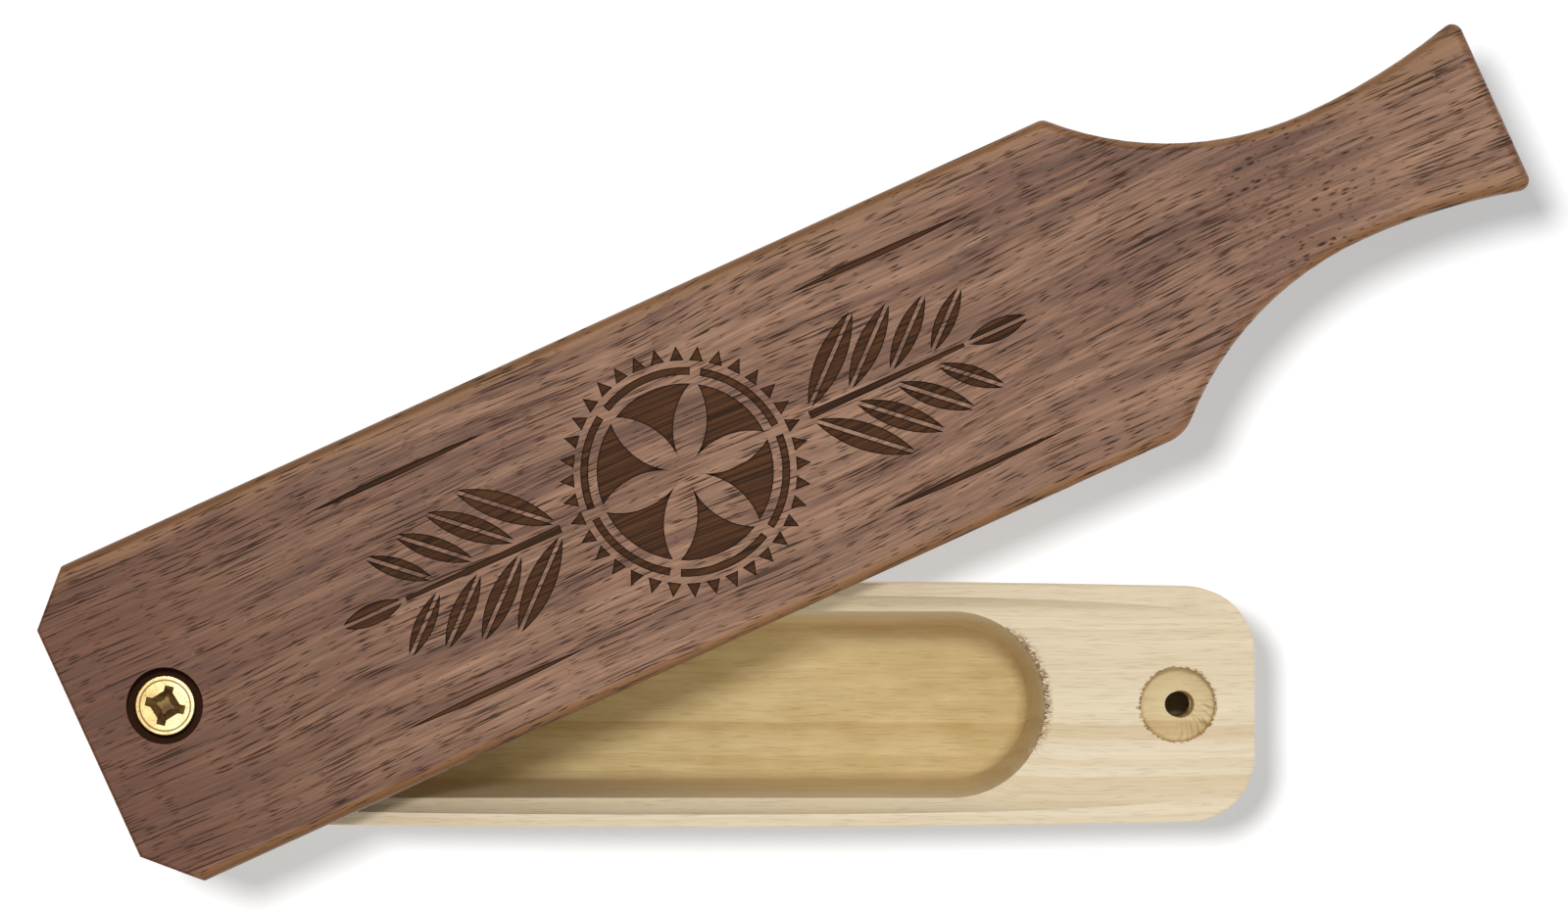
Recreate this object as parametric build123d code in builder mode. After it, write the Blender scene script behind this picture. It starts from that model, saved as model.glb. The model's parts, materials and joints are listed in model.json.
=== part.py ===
from build123d import *
import math
import os

# Box bird call: a milled wooden sound box and a sprung paddle lid that is swung across its lips.
# The origin is on the box's underside, midway between its two pivot holes, +X runs along the box
# to the end without the lid's screw, and +Z is up. Lengths are in millimetres, angles in degrees.

os.makedirs("parts", exist_ok=True)

# Sound box
box_width = 40.6  # midway between the pivot holes
side_bow_radius = 4300.0  # the sides bow outwards along the box
pivot_pitch = 167.2  # centre to centre of the pivot holes at the two ends
pivot_end = 10.7  # the lid's pivot to the box's end
free_end = 12.7  # the spare pivot hole to the other end
end_height = 38.0  # flat end blocks above the base
lip_rise = 3.8  # crest of the lips above the end blocks
lip_arch_radius = 1150.0  # the lips arch along the box
lip_top = 2.0  # from the outside to the hollow's upper end
cove_radius = 5.0  # hollow at the inner foot of each lip
plan_corner = 11.0
base_round = 1.0
lip_round = 0.3
chamber_wall = 4.85  # from the chamber's rim to the outside
pivot_to_chamber = 21.9
chamber_floor_thickness = 9.0
chamber_draft = 5.5
chamber_floor_round = 2.5

# Pivot holes, alike at both ends of the box
spring_seat = 12.4
spring_seat_depth = 4.0
spring_seat_round = 0.9
pilot_bore = 4.2
pilot_floor = 8.3  # wood left under the pilot hole
pilot_spare = 3.0  # pilot hole left below the screw's point

# Paddle lid
paddle_width = 57.0
paddle_thickness = 11.5  # on the centre line
paddle_crown_radius = 180.0  # the underside is crowned across the lid
paddle_rear = 14.0  # pivot to the rear end
rear_corner_cut = 8.0
pivot_to_shoulder = 171.6
shoulder_to_neck = 39.8
neck_to_tip = 29.2
neck_width = 22.9
tip_width = 31.0
shoulder_round = 2.0
worn_shoulder_round = 6.5  # the shoulder on the side that crosses the box
tip_round = 1.8
top_round = 1.6  # along the sides and the handle
end_round = 0.5  # across the rear end
under_round = 0.5
pivot_bore = 7.0
pivot_offset = 0.5  # the lid's centre line runs this far beside its pivot
head_bore_depth = 4.6
lid_spring_seat_depth = 3.2
lip_clearance = 0.2  # lid's crown above the crest of the lips
rest_swing = 24.5  # the lid is stored swung open by this angle

# Pivot screw
head_diameter = 10.0
head_rim = 0.6
head_angle = 90.0
head_side_clearance = 1.35  # head to the wall of its counterbore
head_seat_clearance = 0.3  # cone to the edge of the lid's bore
head_edge_round = 0.25
ring_inset = 0.65  # fine groove turned on the head, in from its edge
ring_width = 0.3
ring_depth = 0.12
recess_span = 6.6
recess_wing = 1.5
recess_root = 4.7  # across the roots of the wings
recess_depth = 2.6
recess_floor_span = 2.8
recess_turn = -13.0  # how the cross stands against the box
shank_diameter = 4.0
thread_diameter = 5.0
thread_core = 3.4
thread_pitch = 2.5
thread_crest = 0.3
thread_angle = 60.0
thread_root = 0.5  # the ridge is rooted this deep in the core
thread_below_seat = 1.7  # the thread ends this far below the spring's seat
point_length = 5.0

# Lid spring
spring_wire = 1.0
spring_turns = 4.5
spring_side_clearance = 0.9  # outside of the coil to its seat's wall
spring_end_gap = 0.15
spring_end_closing = 0.3  # how much flatter the end turns lie

# Places worked out from these sizes
pivot_x = -pivot_pitch / 2
left_x = pivot_x - pivot_end
right_x = -pivot_x + free_end
chamber_length = pivot_pitch - 2 * pivot_to_chamber
chamber_width = box_width - 2 * chamber_wall
crest_z = end_height + lip_rise
under_z = crest_z + lip_clearance
top_z = under_z + paddle_thickness
head_seat_z = top_z - head_bore_depth
head_slope = math.tan(math.radians(head_angle / 2))
seat_radius = pivot_bore / 2 - head_seat_clearance
head_z = head_seat_z + (head_diameter / 2 - seat_radius) / head_slope + head_rim
point_z = pilot_floor + pilot_spare
spring_floor_z = end_height - spring_seat_depth
spring_roof_z = under_z + lid_spring_seat_depth
pivot_to_neck = pivot_to_shoulder + shoulder_to_neck
pivot_to_tip = pivot_to_neck + neck_to_tip
beyond = box_width  # cutting tools reach this far past what they cut
near = 0.01  # faces and corners are picked by their place to this closeness


def arch_drop(radius, x):
    """How far an arch of this radius has fallen at x from its crest."""
    return radius - math.sqrt(radius**2 - x**2)


# Milled block: arched top, bowed sides, channel between the lips, chamber and pivot holes
with BuildPart() as box:
    with BuildSketch(Plane.XZ):
        with BuildLine():
            left_z = crest_z - arch_drop(lip_arch_radius, left_x)
            right_z = crest_z - arch_drop(lip_arch_radius, right_x)
            Polyline((left_x, left_z), (left_x, 0), (right_x, 0), (right_x, right_z))
            ThreePointArc((right_x, right_z), (0, crest_z), (left_x, left_z))
        make_face()
    extrude(amount=box_width, both=True)
    with BuildSketch() as plan:
        with BuildLine():
            left_y = box_width / 2 - arch_drop(side_bow_radius, left_x)
            right_y = box_width / 2 - arch_drop(side_bow_radius, right_x)
            ThreePointArc((left_x, left_y), (0, box_width / 2), (right_x, right_y))
            Line((right_x, right_y), (right_x, -right_y))
            ThreePointArc((right_x, -right_y), (0, -box_width / 2), (left_x, -left_y))
            Line((left_x, -left_y), (left_x, left_y))
        make_face()
        fillet(plan.vertices(), plan_corner)
    extrude(amount=crest_z + beyond, mode=Mode.INTERSECT)
    fillet(box.faces().sort_by(Axis.Z)[0].edges(), base_round)
    fillet(box.faces().sort_by(Axis.Z)[-1].edges(), lip_round)

    with BuildSketch(Plane.YZ):
        with BuildLine():
            lip_face = box_width / 2 - lip_top
            flat = lip_face - cove_radius
            cove_top = end_height + cove_radius
            roof = crest_z + beyond
            arc_45 = cove_radius * math.sin(math.radians(45))
            Line((0, end_height), (flat, end_height))
            ThreePointArc(
                (flat, end_height),
                (flat + arc_45, cove_top - arc_45),
                (lip_face, cove_top),
            )
            Polyline((lip_face, cove_top), (lip_face, roof), (0, roof), (0, end_height))
        make_face()
        mirror(about=Plane.YZ)
    extrude(amount=pivot_pitch, both=True, mode=Mode.SUBTRACT)

    with BuildSketch(Plane.XY.offset(end_height)):
        SlotOverall(chamber_length, chamber_width)
    extrude(amount=beyond, mode=Mode.SUBTRACT)
    with BuildSketch(Plane.XY.offset(end_height)):
        SlotOverall(chamber_length, chamber_width)
    extrude(amount=chamber_floor_thickness - end_height, taper=chamber_draft, mode=Mode.SUBTRACT)
    chamber_floor = box.faces().filter_by(Plane.XY).sort_by(Axis.Z)[1]
    fillet(chamber_floor.edges(), chamber_floor_round)

    with Locations((pivot_x, 0, end_height), (-pivot_x, 0, end_height)):
        CounterBoreHole(
            radius=pilot_bore / 2,
            counter_bore_radius=spring_seat / 2,
            counter_bore_depth=spring_seat_depth,
            depth=end_height - pilot_floor,
        )
    level_faces = box.faces().filter_by(Plane.XY)
    seat_floors = level_faces.filter_by_position(Axis.Z, spring_floor_z - near, spring_floor_z + near)
    fillet(seat_floors.edges().sort_by(SortBy.RADIUS)[-2:], spring_seat_round)
box.part.label = "box"
export_step(box.part, "parts/box.step")

# Paddle lid, drawn along its own axis from the pivot and swung to its resting angle
pivot_plane = Plane(origin=(pivot_x, 0, 0))
lid_direction = Vector(1, 0, 0).rotate(Axis.Z, rest_swing)
lid_across = lid_direction.rotate(Axis.Z, 90)
lid_origin = pivot_plane.origin - pivot_offset * lid_across
lid_plane = Plane(origin=lid_origin, x_dir=lid_direction, z_dir=(0, 0, 1))
lid_section = Plane(origin=lid_origin, x_dir=lid_across, z_dir=lid_direction)


def behind_pivot(edge):
    """Whether an edge of the lid lies on the rear side of its pivot."""
    return (edge.center() - lid_origin).dot(lid_direction) < 0


with BuildPart() as paddle:
    with BuildSketch(lid_plane.offset(under_z)) as outline:
        with BuildLine():
            side = paddle_width / 2
            Polyline(
                (-paddle_rear, 0),
                (-paddle_rear, side - rear_corner_cut),
                (-paddle_rear + rear_corner_cut, side),
                (pivot_to_shoulder, side),
            )
            TangentArc((pivot_to_neck, neck_width / 2), (pivot_to_shoulder, side), tangent=(-1, 0))
            TangentArc((pivot_to_neck, neck_width / 2), (pivot_to_tip, tip_width / 2), tangent=(1, 0))
            Line((pivot_to_tip, tip_width / 2), (pivot_to_tip, 0))
            mirror(about=Plane.XZ)
        make_face()
        at_shoulder = (pivot_to_shoulder - near, pivot_to_shoulder + near)
        shoulders = outline.vertices().filter_by_position(Axis.X, *at_shoulder).sort_by(Axis.Y)
        fillet(shoulders[0], worn_shoulder_round)
        fillet(outline.vertices().filter_by_position(Axis.X, *at_shoulder), shoulder_round)
        fillet(outline.vertices().group_by(Axis.X)[-1], tip_round)
    extrude(amount=paddle_thickness)

    with BuildSketch(lid_section):
        with BuildLine():
            edge = paddle_width / 2 + beyond
            edge_z = under_z + paddle_crown_radius - math.sqrt(paddle_crown_radius**2 - edge**2)
            roof = top_z + beyond
            ThreePointArc((-edge, edge_z), (0, under_z), (edge, edge_z))
            Polyline((edge, edge_z), (edge, roof), (-edge, roof), (-edge, edge_z))
        make_face()
    extrude(amount=pivot_to_tip + beyond, both=True, mode=Mode.INTERSECT)

    ahead = [edge for edge in paddle.faces().sort_by(Axis.Z)[-1].edges() if not behind_pivot(edge)]
    fillet(ahead, top_round)
    behind = [edge for edge in paddle.faces().sort_by(Axis.Z)[-1].edges() if behind_pivot(edge)]
    fillet(behind, end_round)
    fillet(paddle.faces().sort_by(Axis.Z)[0].edges(), under_round)

    with Locations(pivot_plane.offset(top_z)):
        CounterBoreHole(
            radius=pivot_bore / 2,
            counter_bore_radius=head_diameter / 2 + head_side_clearance,
            counter_bore_depth=head_bore_depth,
        )
    with BuildSketch(pivot_plane.offset(spring_roof_z)):
        Circle(spring_seat / 2)
    extrude(amount=-beyond, mode=Mode.SUBTRACT)
paddle.part.label = "paddle"
export_step(paddle.part, "parts/paddle.step")

# Flat-head wood screw, driven into the box and standing up through the lid
screw_axis = Axis((pivot_x, 0, 0), (0, 0, 1))
screw_section = Plane(origin=(pivot_x, 0, 0), x_dir=(1, 0, 0), z_dir=(0, -1, 0))
core_radius = thread_core / 2
thread_depth = (thread_diameter - thread_core) / 2
thread_flank = (thread_depth + thread_root) * math.tan(math.radians(thread_angle / 2))
thread_start_z = point_z + point_length
thread_end_z = spring_floor_z - thread_below_seat

with BuildPart() as pivot_screw:
    with BuildSketch(screw_section):
        with BuildLine():
            head_radius = head_diameter / 2
            shank_radius = shank_diameter / 2
            neck_z = head_z - head_rim - (head_radius - shank_radius) / head_slope
            Polyline(
                (0, head_z),
                (head_radius, head_z),
                (head_radius, head_z - head_rim),
                (shank_radius, neck_z),
                (shank_radius, thread_end_z),
                (core_radius, thread_end_z),
                (core_radius, thread_start_z),
                (0, point_z),
                (0, head_z),
            )
        make_face()
    revolve(axis=screw_axis)
    fillet(pivot_screw.edges().group_by(Axis.Z)[-1], head_edge_round)

    with BuildLine():
        half_crest = thread_crest / 2
        half_base = half_crest + thread_flank
        ridge = Helix(
            pitch=thread_pitch,
            height=thread_end_z - thread_start_z - 2 * half_base,
            radius=core_radius + thread_depth / 2,
            center=(pivot_x, 0, thread_start_z + half_base),
        )
    with BuildSketch(Plane(origin=ridge @ 0, x_dir=(1, 0, 0), z_dir=ridge % 0)):
        with BuildLine():
            crest = thread_depth / 2
            root = -thread_depth / 2 - thread_root
            Polyline(
                (root, -half_base),
                (crest, -half_crest),
                (crest, half_crest),
                (root, half_base),
                close=True,
            )
        make_face()
    sweep(path=ridge, is_frenet=True)

    with BuildSketch(pivot_plane.offset(head_z)):
        Circle(head_diameter / 2 - ring_inset)
        Circle(head_diameter / 2 - ring_inset - ring_width, mode=Mode.SUBTRACT)
    extrude(amount=-ring_depth, mode=Mode.SUBTRACT)
    # Cross recess, with flat flanks between the roots of its four wings, narrowing to its floor
    for depth, span in ((0, recess_span), (recess_depth, recess_floor_span)):
        share = span / recess_span
        with BuildSketch(pivot_plane.offset(head_z - depth)):
            with BuildLine():
                for wing in range(4):
                    turn = recess_turn + 90 * wing
                    reach = Vector(span / 2, 0).rotate(Axis.Z, turn)
                    wing_root = Vector(share * recess_root / 2, 0).rotate(Axis.Z, turn)
                    half_wing = Vector(0, share * recess_wing / 2).rotate(Axis.Z, turn)
                    Polyline(
                        wing_root - half_wing,
                        reach - half_wing,
                        reach + half_wing,
                        wing_root + half_wing,
                        (wing_root - half_wing).rotate(Axis.Z, 90),
                    )
            make_face()
    loft(ruled=True, mode=Mode.SUBTRACT)
pivot_screw.part.label = "pivot_screw"
export_step(pivot_screw.part, "parts/pivot_screw.step")

# Compression spring between the box and the lid, wound as quarter-turn pairs of arcs
coil_radius = spring_seat / 2 - spring_side_clearance - spring_wire / 2
coil_foot_z = spring_floor_z + spring_end_gap + spring_wire / 2
coil_rise = spring_roof_z - spring_end_gap - spring_wire / 2 - coil_foot_z
full_turn = 2 * math.pi


def coil_point(turn):
    """Centre of the wire after a number of turns; the end turns lie flatter than the middle ones."""
    share = turn / spring_turns
    rise = share - spring_end_closing * math.sin(full_turn * share) / full_turn
    around = Vector(coil_radius, 0).rotate(Axis.Z, 360 * turn)
    return Vector(pivot_x, 0, coil_foot_z + rise * coil_rise) + around


def coil_heading(turn):
    """Direction of the wire after a number of turns."""
    share = turn / spring_turns
    climb = (1 - spring_end_closing * math.cos(full_turn * share)) * coil_rise / spring_turns
    around = Vector(0, full_turn * coil_radius).rotate(Axis.Z, 360 * turn)
    return (around + Vector(0, 0, climb)).normalized()


def arc_pair(start, start_heading, end, end_heading):
    """Draw two arcs that leave start and reach end along the given headings."""
    span = end - start
    both = start_heading + end_heading
    bend = 2 * (1 - start_heading.dot(end_heading))
    reach = (math.sqrt(span.dot(both) ** 2 + bend * span.dot(span)) - span.dot(both)) / bend
    leave = start + start_heading * reach
    arrive = end - end_heading * reach
    middle = (leave + arrive) / 2
    TangentArc(start, middle, tangent=start_heading)
    TangentArc(middle, end, tangent=arrive - leave)


with BuildPart() as lid_spring:
    with BuildLine() as wire_line:
        quarters = round(4 * spring_turns)
        turns = [spring_turns * step / quarters for step in range(quarters + 1)]
        first, last = turns[0], turns[-1]
        Line(coil_point(first) - coil_heading(first) * spring_wire, coil_point(first))
        for turn, next_turn in zip(turns, turns[1:]):
            arc_pair(coil_point(turn), coil_heading(turn), coil_point(next_turn), coil_heading(next_turn))
        Line(coil_point(last), coil_point(last) + coil_heading(last) * spring_wire)
    wire_path = wire_line.wires()[0]
    with BuildSketch(Plane(origin=wire_path @ 0, z_dir=wire_path % 0)):
        Circle(spring_wire / 2)
    sweep(path=wire_path)
lid_spring.part.label = "lid_spring"
export_step(lid_spring.part, "parts/lid_spring.step")

points_per_turn = 48
point_count = int(points_per_turn * spring_turns) + 1
samples = [coil_point(step / points_per_turn) for step in range(point_count)]
least_gap = min(
    (samples[i] - samples[j]).length - spring_wire
    for i in range(len(samples))
    for j in range(i + points_per_turn // 2, len(samples))
)
print(f"spring: {spring_turns} turns, least gap between turns {least_gap:.2f} mm")
wire_section = math.pi * spring_wire**2 / 4
wire_volume = wire_section * wire_path.length
print(f"spring: volume {lid_spring.part.volume:.1f}, section times length {wire_volume:.1f} mm3")
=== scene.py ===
"""Looks of a box bird call: a walnut paddle lid with a burnt ornament, a milled pale wood box,
a plated pivot screw and its lid spring, on a plain white stage. Lengths are in metres, in the
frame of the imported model, unless a name or a comment says millimetres."""

import json
import math
import random
from functools import partial

import bmesh
import bpy
from bpy.props import FloatProperty, FloatVectorProperty, IntProperty, PointerProperty
from mathutils import Matrix, Vector


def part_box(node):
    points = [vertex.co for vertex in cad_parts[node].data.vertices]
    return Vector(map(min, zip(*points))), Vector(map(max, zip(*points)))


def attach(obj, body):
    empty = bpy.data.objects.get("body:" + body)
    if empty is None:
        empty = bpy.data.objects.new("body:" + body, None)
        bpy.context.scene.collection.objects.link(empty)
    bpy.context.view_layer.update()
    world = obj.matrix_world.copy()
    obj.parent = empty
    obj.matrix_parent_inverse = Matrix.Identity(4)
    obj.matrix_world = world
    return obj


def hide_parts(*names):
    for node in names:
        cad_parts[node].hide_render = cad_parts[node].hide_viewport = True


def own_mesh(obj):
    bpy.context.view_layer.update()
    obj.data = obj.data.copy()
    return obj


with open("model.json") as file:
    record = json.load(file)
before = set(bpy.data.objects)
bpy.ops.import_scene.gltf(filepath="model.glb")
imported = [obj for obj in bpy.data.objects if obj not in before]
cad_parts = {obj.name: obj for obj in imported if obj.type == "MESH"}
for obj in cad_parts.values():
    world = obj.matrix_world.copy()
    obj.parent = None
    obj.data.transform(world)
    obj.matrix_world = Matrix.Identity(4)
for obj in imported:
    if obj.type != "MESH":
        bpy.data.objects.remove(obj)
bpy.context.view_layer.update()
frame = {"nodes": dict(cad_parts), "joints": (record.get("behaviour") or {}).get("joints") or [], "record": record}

bl_info = {
    "name": "Box bird call",
    "version": (1, 0, 0),
    "blender": (4, 5, 0),
    "location": "3D View > Sidebar > Bird Call",
    "description": "Finishes the lid, box, screw and spring of a box bird call and sets its stage",
    "category": "Add Mesh",
}

MM = 0.001
JOINTS = {joint["name"]: joint for joint in frame["joints"]}
MOUNTS = {mount["name"]: mount for mount in frame["record"]["mounts"]}
PIVOT = Vector(JOINTS["lid_swing"]["pos_m"])
TILT_AXIS = Vector(JOINTS["lid_tilt"]["axis"])
SWING = math.atan2(TILT_AXIS.x, -TILT_AXIS.y)
LID_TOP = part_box("paddle")[1].z
LID_TURN = Matrix.Rotation(SWING, 4, "Z")
LID_ACROSS = [
    (LID_TURN.inverted() @ (vert.co - PIVOT)).y for vert in frame["nodes"]["paddle"].data.vertices
]
LID_MIDDLE = (min(LID_ACROSS) + max(LID_ACROSS)) / 2  # the lid's centre line, beside its pivot
LID_FRAME = (
    Matrix.Translation((PIVOT.x, PIVOT.y, LID_TOP)) @ LID_TURN @ Matrix.Translation((0, LID_MIDDLE, 0))
)
HEAD_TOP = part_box("pivot_screw")[1].z
SPARE_X = MOUNTS["spare_pilot_hole"]["pos_m"][0]
SPARE_RADIUS = MOUNTS["spare_spring_seat"]["dims"]["r_mm"] * MM
END_TOP = 38.0 * MM  # the box's flat end blocks
SEAT_FLOOR = 34.0 * MM  # floor of the spare spring seat
CHAMBER_RADIUS = 15.45 * MM  # round ends of the chamber's rim
CHAMBER_END_X = 61.7 * MM
CHAMBER_DRAFT = math.radians(5.5)
SMOOTH_ANGLE = math.radians(32)
WELD = 0.001 * MM  # points closer than this are one

# The lid's outline in millimetres from its pivot and centre line, as the solid has it
LID_SIDE, LID_TIP = 28.5, 240.6
NECK = 211.4  # where the handle is narrowest
HANDLE_ARCS = ((66.9, 55.4), (118.7, 107.25))  # off the centre line, and radius, before and after the neck


def linear(code):
    """Linear colour of an sRGB hex code."""
    parts = [int(code[i : i + 2], 16) / 255 for i in (0, 2, 4)]
    return tuple(c / 12.92 if c <= 0.04045 else ((c + 0.055) / 1.055) ** 2.4 for c in parts)


def tint(name, description, code):
    """A colour setting whose default is an sRGB hex code."""
    return FloatVectorProperty(
        name=name, description=description, default=linear(code), subtype="COLOR", min=0, max=1
    )


def length(name, description, default):
    """A length setting whose default is in metres."""
    return FloatProperty(
        name=name, description=description, default=default, unit="LENGTH", precision=5
    )


def lean(name, description, back, left):
    """A setting of two angles, given in degrees."""
    return FloatVectorProperty(
        name=name, description=description, size=2, subtype="EULER",
        default=(math.radians(back), math.radians(left)),
    )


def spread(name, description, degrees):
    """A setting of the angle that a light fills, given in degrees."""
    return FloatProperty(
        name=name, description=description, default=math.radians(degrees), subtype="ANGLE"
    )


def strength(name, description, default):
    """A setting of how strong a light is."""
    return FloatProperty(name=name, description=description, default=default, min=0)


class LidSettings(bpy.types.PropertyGroup):
    """Walnut paddle lid and its burnt ornament."""

    burn_depth: length("Burn depth", "How deep the ornament is burnt in", 0.35 * MM)
    burn_slope: length("Burn slope", "How far the burnt walls lean in", 0.16 * MM)
    ornament_u: length("Ornament place", "Pivot to the rosette's centre", 94.0 * MM)
    light: tint("Light wood", "Pale bands of the walnut", "9b7256")
    middle: tint("Middle wood", "Most of the walnut", "80583e")
    dark: tint("Dark wood", "Dark bands of the walnut", "58311c")
    pore: tint("Pores", "Open pores, filled with oil and dust", "26150e")
    dust: tint("Dust", "Specks of pale dust in the pores", "b9ada0")
    warm: tint("Warm wood", "Browner wood behind the pivot", "603212")
    # Partly painted light: the rounded-edge brown stands for edges that miss the sheen, and the worn gold is a
    # painted highlight line over real sanding wear
    edge: tint("Rounded edge", "Outer side of the rounded edges", "67421f")
    worn: tint("Worn edge", "Inner side of the rounded edges, sanded through the sheen", "93683f")
    burn_floor: tint("Burn floor", "Bottom of the burnt ornament", "5c381c")
    bore: tint("Counterbore", "Drilled wood round the screw's head", "3f1f08")
    # Painted shade as well as char: the steep walls of the burnt recesses are painted near black
    burn_wall_and_shade: tint("Burn wall", "Charred walls of the burnt ornament", "1c0c04")


class BoxSettings(bpy.types.PropertyGroup):
    """Milled box."""

    pale: tint("Pale wood", "Most of the box", "e9dabd")
    ring: tint("Growth rings", "Late wood along the rings", "d3bb93")
    pit: tint("Pits", "Short open grain", "b89d74")
    torn: tint("Torn grain", "Torn end grain at the rims", "7a5728")
    chips: IntProperty(name="Chips", description="Chips out of the rims", default=105, min=0)
    fibres: IntProperty(name="Fibres", description="Torn fibres on the rims", default=90, min=0)


class StageSettings(bpy.types.PropertyGroup):
    """Camera, light and floor."""

    camera_height: length("Camera height", "Above the lid's top face", 3.0)
    camera_x: length("Camera x", "Along the box", 18.4 * MM)
    camera_y: length("Camera y", "Across the box", 41.4 * MM)
    frame_width: length("Frame width", "Seen at the lid's top face", 258.2 * MM)
    sky: strength("Sky", "Strength of the even light", 0.66)
    lamp: strength("Lamp", "What the lamp adds on a level face", 0.35)
    lamp_lean: lean("Lamp lean", "The object's lamp from straight above, back and to the left", 10.5, 0)
    lamp_size: spread("Lamp size", "Angle that the lamp fills", 7)
    dome_size: spread("Dome size", "Angle that the even light fills", 170)
    paper: tint("Paper", "Floor under the object", "ffffff")
    paper_glow: strength("Paper glow", "Even light on the paper, as the camera sees it", 0.5)
    paper_lamp: strength("Paper lamp", "Strength of the light that throws the shadow", 1.75)
    shadow_lean: lean("Shadow lean", "The paper's lamp from straight above, back and to the left", 5.2, 7.8)


class BirdCallSettings(bpy.types.PropertyGroup):
    """All that a user would change."""

    lid: PointerProperty(type=LidSettings)
    box: PointerProperty(type=BoxSettings)
    stage: PointerProperty(type=StageSettings)


def node(tree, kind, inputs=(), **settings):
    """Add a node; each input is a value or the output that feeds it. Returns its outputs. Sockets go by
    number where names repeat: a Map Range takes its value, from low, from high, to low and to high as
    0 to 4, and a colour Mix takes its factor as 0 and its colours as 6 and 7, and gives output 2."""
    made = tree.nodes.new("ShaderNode" + kind)
    for name, value in settings.items():
        setattr(made, name, value)
    for key, value in dict(inputs).items():
        if isinstance(value, bpy.types.NodeSocket):
            tree.links.new(value, made.inputs[key])
        else:
            made.inputs[key].default_value = value
    return made.outputs


def new_material(name):
    """An empty node material, and the call that adds a node to it."""
    material = bpy.data.materials.new(name)
    material.use_nodes = True
    material.node_tree.nodes.clear()
    return material, partial(node, material.node_tree)


def new_object(name, shape):
    """An object in the scene from a bmesh, which is freed."""
    mesh = bpy.data.meshes.new(name)
    shape.to_mesh(mesh)
    shape.free()
    made = bpy.data.objects.new(name, mesh)
    bpy.context.scene.collection.objects.link(made)
    return made


def merged_copy(name, cad_node):
    """An object with a welded copy of a CAD node's mesh."""
    shape = bmesh.new()
    shape.from_mesh(frame["nodes"][cad_node].data)
    bmesh.ops.remove_doubles(shape, verts=shape.verts, dist=WELD)
    return new_object(name, shape)


def cut(piece, tool):
    """Cut the tool's solids out of a piece, and remove the tool."""
    carve = piece.modifiers.new("cut", "BOOLEAN")
    carve.operation = "DIFFERENCE"
    carve.solver = "EXACT"
    carve.use_self = True
    carve.object = tool
    graph = bpy.context.evaluated_depsgraph_get()
    mesh = bpy.data.meshes.new_from_object(piece.evaluated_get(graph))
    piece.modifiers.remove(carve)
    piece.data = mesh
    bpy.data.objects.remove(tool)


def shade(piece, material):
    """Give a piece its material, and smooth shading between its sharp edges."""
    shape = bmesh.new()
    shape.from_mesh(piece.data)
    for face in shape.faces:
        face.smooth = True
        face.material_index = 0
    for edge in shape.edges:
        edge.smooth = edge.calc_face_angle(math.pi) < SMOOTH_ANGLE
    shape.to_mesh(piece.data)
    shape.free()
    piece.data.materials.clear()
    piece.data.materials.append(material)
    level = piece.modifiers.new("normals", "WEIGHTED_NORMAL")
    level.keep_sharp = True


def draw(shape, corners, place=Matrix.Identity(3)):
    """Draw a closed outline and fill it. A corner is (x, y, bulge) in millimetres: the line to the
    next corner is an arc that swells by bulge to its right, or straight where bulge is 0."""
    arc_steps = 10
    first = shape.verts.new((place @ Vector((*corners[0][:2], 1))).xy.to_3d() * MM)
    last = first
    for (x, y, bulge), (next_x, next_y, _) in zip(corners, corners[1:] + corners[:1]):
        start = (place @ Vector((x, y, 1))).xy * MM
        end = (place @ Vector((next_x, next_y, 1))).xy * MM
        if bulge:
            chord = end - start
            rise = bulge * MM
            radius = (chord.length_squared / 4 + rise**2) / (2 * rise)
            right = Vector((chord.y, -chord.x)).normalized()
            centre = (start + end) / 2 + right * (rise - radius)
            turn = 2 * math.asin(chord.length / 2 / abs(radius))
            made = bmesh.ops.spin(
                shape, geom=[last], cent=centre.to_3d(), axis=(0, 0, 1),
                angle=math.copysign(turn, bulge), steps=arc_steps,
            )
            last = made["geom_last"][0]
        else:
            made = bmesh.ops.extrude_vert_indiv(shape, verts=[last])
            last = made["verts"][0]
            last.co = end.to_3d()
    shape.verts.ensure_lookup_table()
    shape.verts.index_update()
    drawn = [vert for vert in shape.verts if vert.index >= first.index]
    bmesh.ops.remove_doubles(shape, verts=drawn, dist=WELD)
    edges = [edge for edge in shape.edges if not edge.link_faces]
    bmesh.ops.contextual_create(shape, geom=edges)


def ring_point(radius, degrees, bulge=0.0):
    """A corner of an outline at an angle round the rosette's centre."""
    angle = math.radians(degrees)
    return (radius * math.cos(angle), radius * math.sin(angle), bulge)


def swell(radius, half_angle):
    """How far an arc of a circle swells beyond its chord."""
    return radius * (1 - math.cos(math.radians(half_angle)))


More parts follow.
